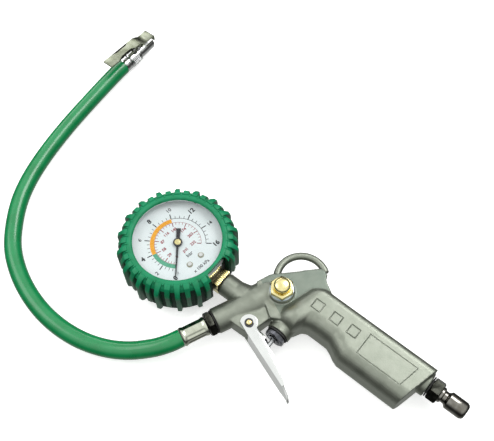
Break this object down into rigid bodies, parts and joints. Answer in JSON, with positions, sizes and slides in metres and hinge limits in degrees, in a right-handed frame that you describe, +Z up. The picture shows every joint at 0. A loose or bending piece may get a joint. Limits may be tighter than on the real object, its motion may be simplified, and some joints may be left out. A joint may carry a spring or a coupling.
{
  "type": "tyre inflator with gauge",
  "caption": "Hand-held tyre inflator: cast grip with squeeze lever and bleed button, round pressure gauge in a tread-shaped rubber boot, short green hose and clip-on chuck.",
  "frame": {"origin": "middle of the outline of the tool lying on its side, hose and chuck left out, at the height of the table", "axes": "+X from the gauge side towards the handle's back, +Y from the handle towards the gauge, +Z up out of the dial"},
  "size_m": [0.2038, 0.3415, 0.0332],
  "materials": {
    "cast_alloy": "sandblasted die casting",
    "chrome": "polished",
    "plug_steel": "plated, slightly worn",
    "dark_nickel": "black nickel",
    "brass": "machined, bright",
    "spring_steel": "drawn wire",
    "washer_steel": "blued",
    "green_boot": "moulded, satin",
    "green_hose": "smooth, glossy",
    "black_rubber": "matt",
    "case_black": "satin black",
    "dial_white": "printed, satin",
    "pointer_black": "satin black",
    "lens": "clear"
  },
  "bodies": {
    "body": {"air_hose": "green_hose", "bleed_nut": "brass", "bleed_spring": "spring_steel", "bleed_washer": "washer_steel", "body_casting": "cast_alloy", "bourdon_tube": "brass", "chuck_body": "chrome", "chuck_clip_pin": "spring_steel", "chuck_clip_spring": "spring_steel", "chuck_collar": "chrome", "chuck_seal": "black_rubber", "chuck_valve_pin": "brass", "dial_screw_1": "spring_steel", "dial_screw_2": "spring_steel", "dial_stop_pin": "spring_steel", "gauge_bezel": "chrome", "gauge_boot": "green_boot", "gauge_case": "case_black", "gauge_dial": "dial_white", "gauge_lens": "lens", "gauge_seal": "black_rubber", "gauge_socket": "brass", "hairspring": "spring_steel", "hose_ferrule": "chrome", "hose_nut": "dark_nickel", "hose_seal": "black_rubber", "inlet_plug": "plug_steel", "inlet_seal": "black_rubber", "movement_back_plate": "brass", "movement_front_plate": "brass", "movement_screw_1": "spring_steel", "movement_screw_2": "spring_steel", "stem_o_ring": "black_rubber", "trigger_pin": "brass", "trigger_pin_clip": "spring_steel", "valve_gasket": "black_rubber", "valve_gland_nut": "dark_nickel", "valve_spring": "spring_steel"},
    "trigger": {"trigger_lever": "chrome"},
    "valve": {"valve_stem": "spring_steel", "valve_seal": "black_rubber"},
    "bleed": {"bleed_button": "brass", "bleed_poppet": "brass"},
    "pointer": {"gauge_pointer": "pointer_black", "pinion_arbor": "brass"},
    "sector": {"sector_gear": "brass"},
    "link": {"link_bar": "brass"},
    "clip": {"chuck_clip": "chrome"}
  },
  "joints": [
    {"name": "trigger_hinge", "type": "hinge", "parent": "body", "child": "trigger", "pos_m": [-0.01783, 0.00005, 0.013], "axis": [0, 0, 1], "range_deg": [0, 12], "stiffness_Nm_per_rad": 1},
    {"name": "valve_slide", "type": "slide", "parent": "body", "child": "valve", "axis": [0.9171, 0.3987, 0], "range_m": [0, 0.0038], "deforming": ["valve_spring"]},
    {"name": "bleed_slide", "type": "slide", "parent": "body", "child": "bleed", "axis": [0, 0, -1], "range_m": [0, 0.0015], "stiffness_N_per_m": 800, "deforming": ["bleed_spring"]},
    {"name": "sector_swing", "type": "hinge", "parent": "body", "child": "sector", "pos_m": [-0.04821, 0.0577, 0.013], "axis": [0, 0, 1], "range_deg": [0, 60], "stiffness_Nm_per_rad": 0.0002},
    {"name": "pointer_spin", "type": "hinge", "parent": "body", "child": "pointer", "pos_m": [-0.03313, 0.06467, 0.013], "axis": [0, 0, 1], "range_deg": [-271, 0]},
    {"name": "link_hinge", "type": "hinge", "parent": "sector", "child": "link", "pos_m": [-0.05221, 0.05586, 0.013], "axis": [0, 0, 1], "range_deg": [-61, 0]},
    {"name": "clip_hinge", "type": "hinge", "parent": "body", "child": "clip", "pos_m": [0.00715, 0.22729, 0.0162], "axis": [0.4384, -0.8988, 0], "range_deg": [0, 18], "stiffness_Nm_per_rad": 0.3}
  ],
  "couplings": [
    {"joint": "valve_slide", "follows": "trigger_hinge", "m_per_rad": 0.0178},
    {"joint": "pointer_spin", "follows": "sector_swing", "ratio": -4.5},
    {"joint": "link_hinge", "follows": "sector_swing", "ratio": -1}
  ]
}
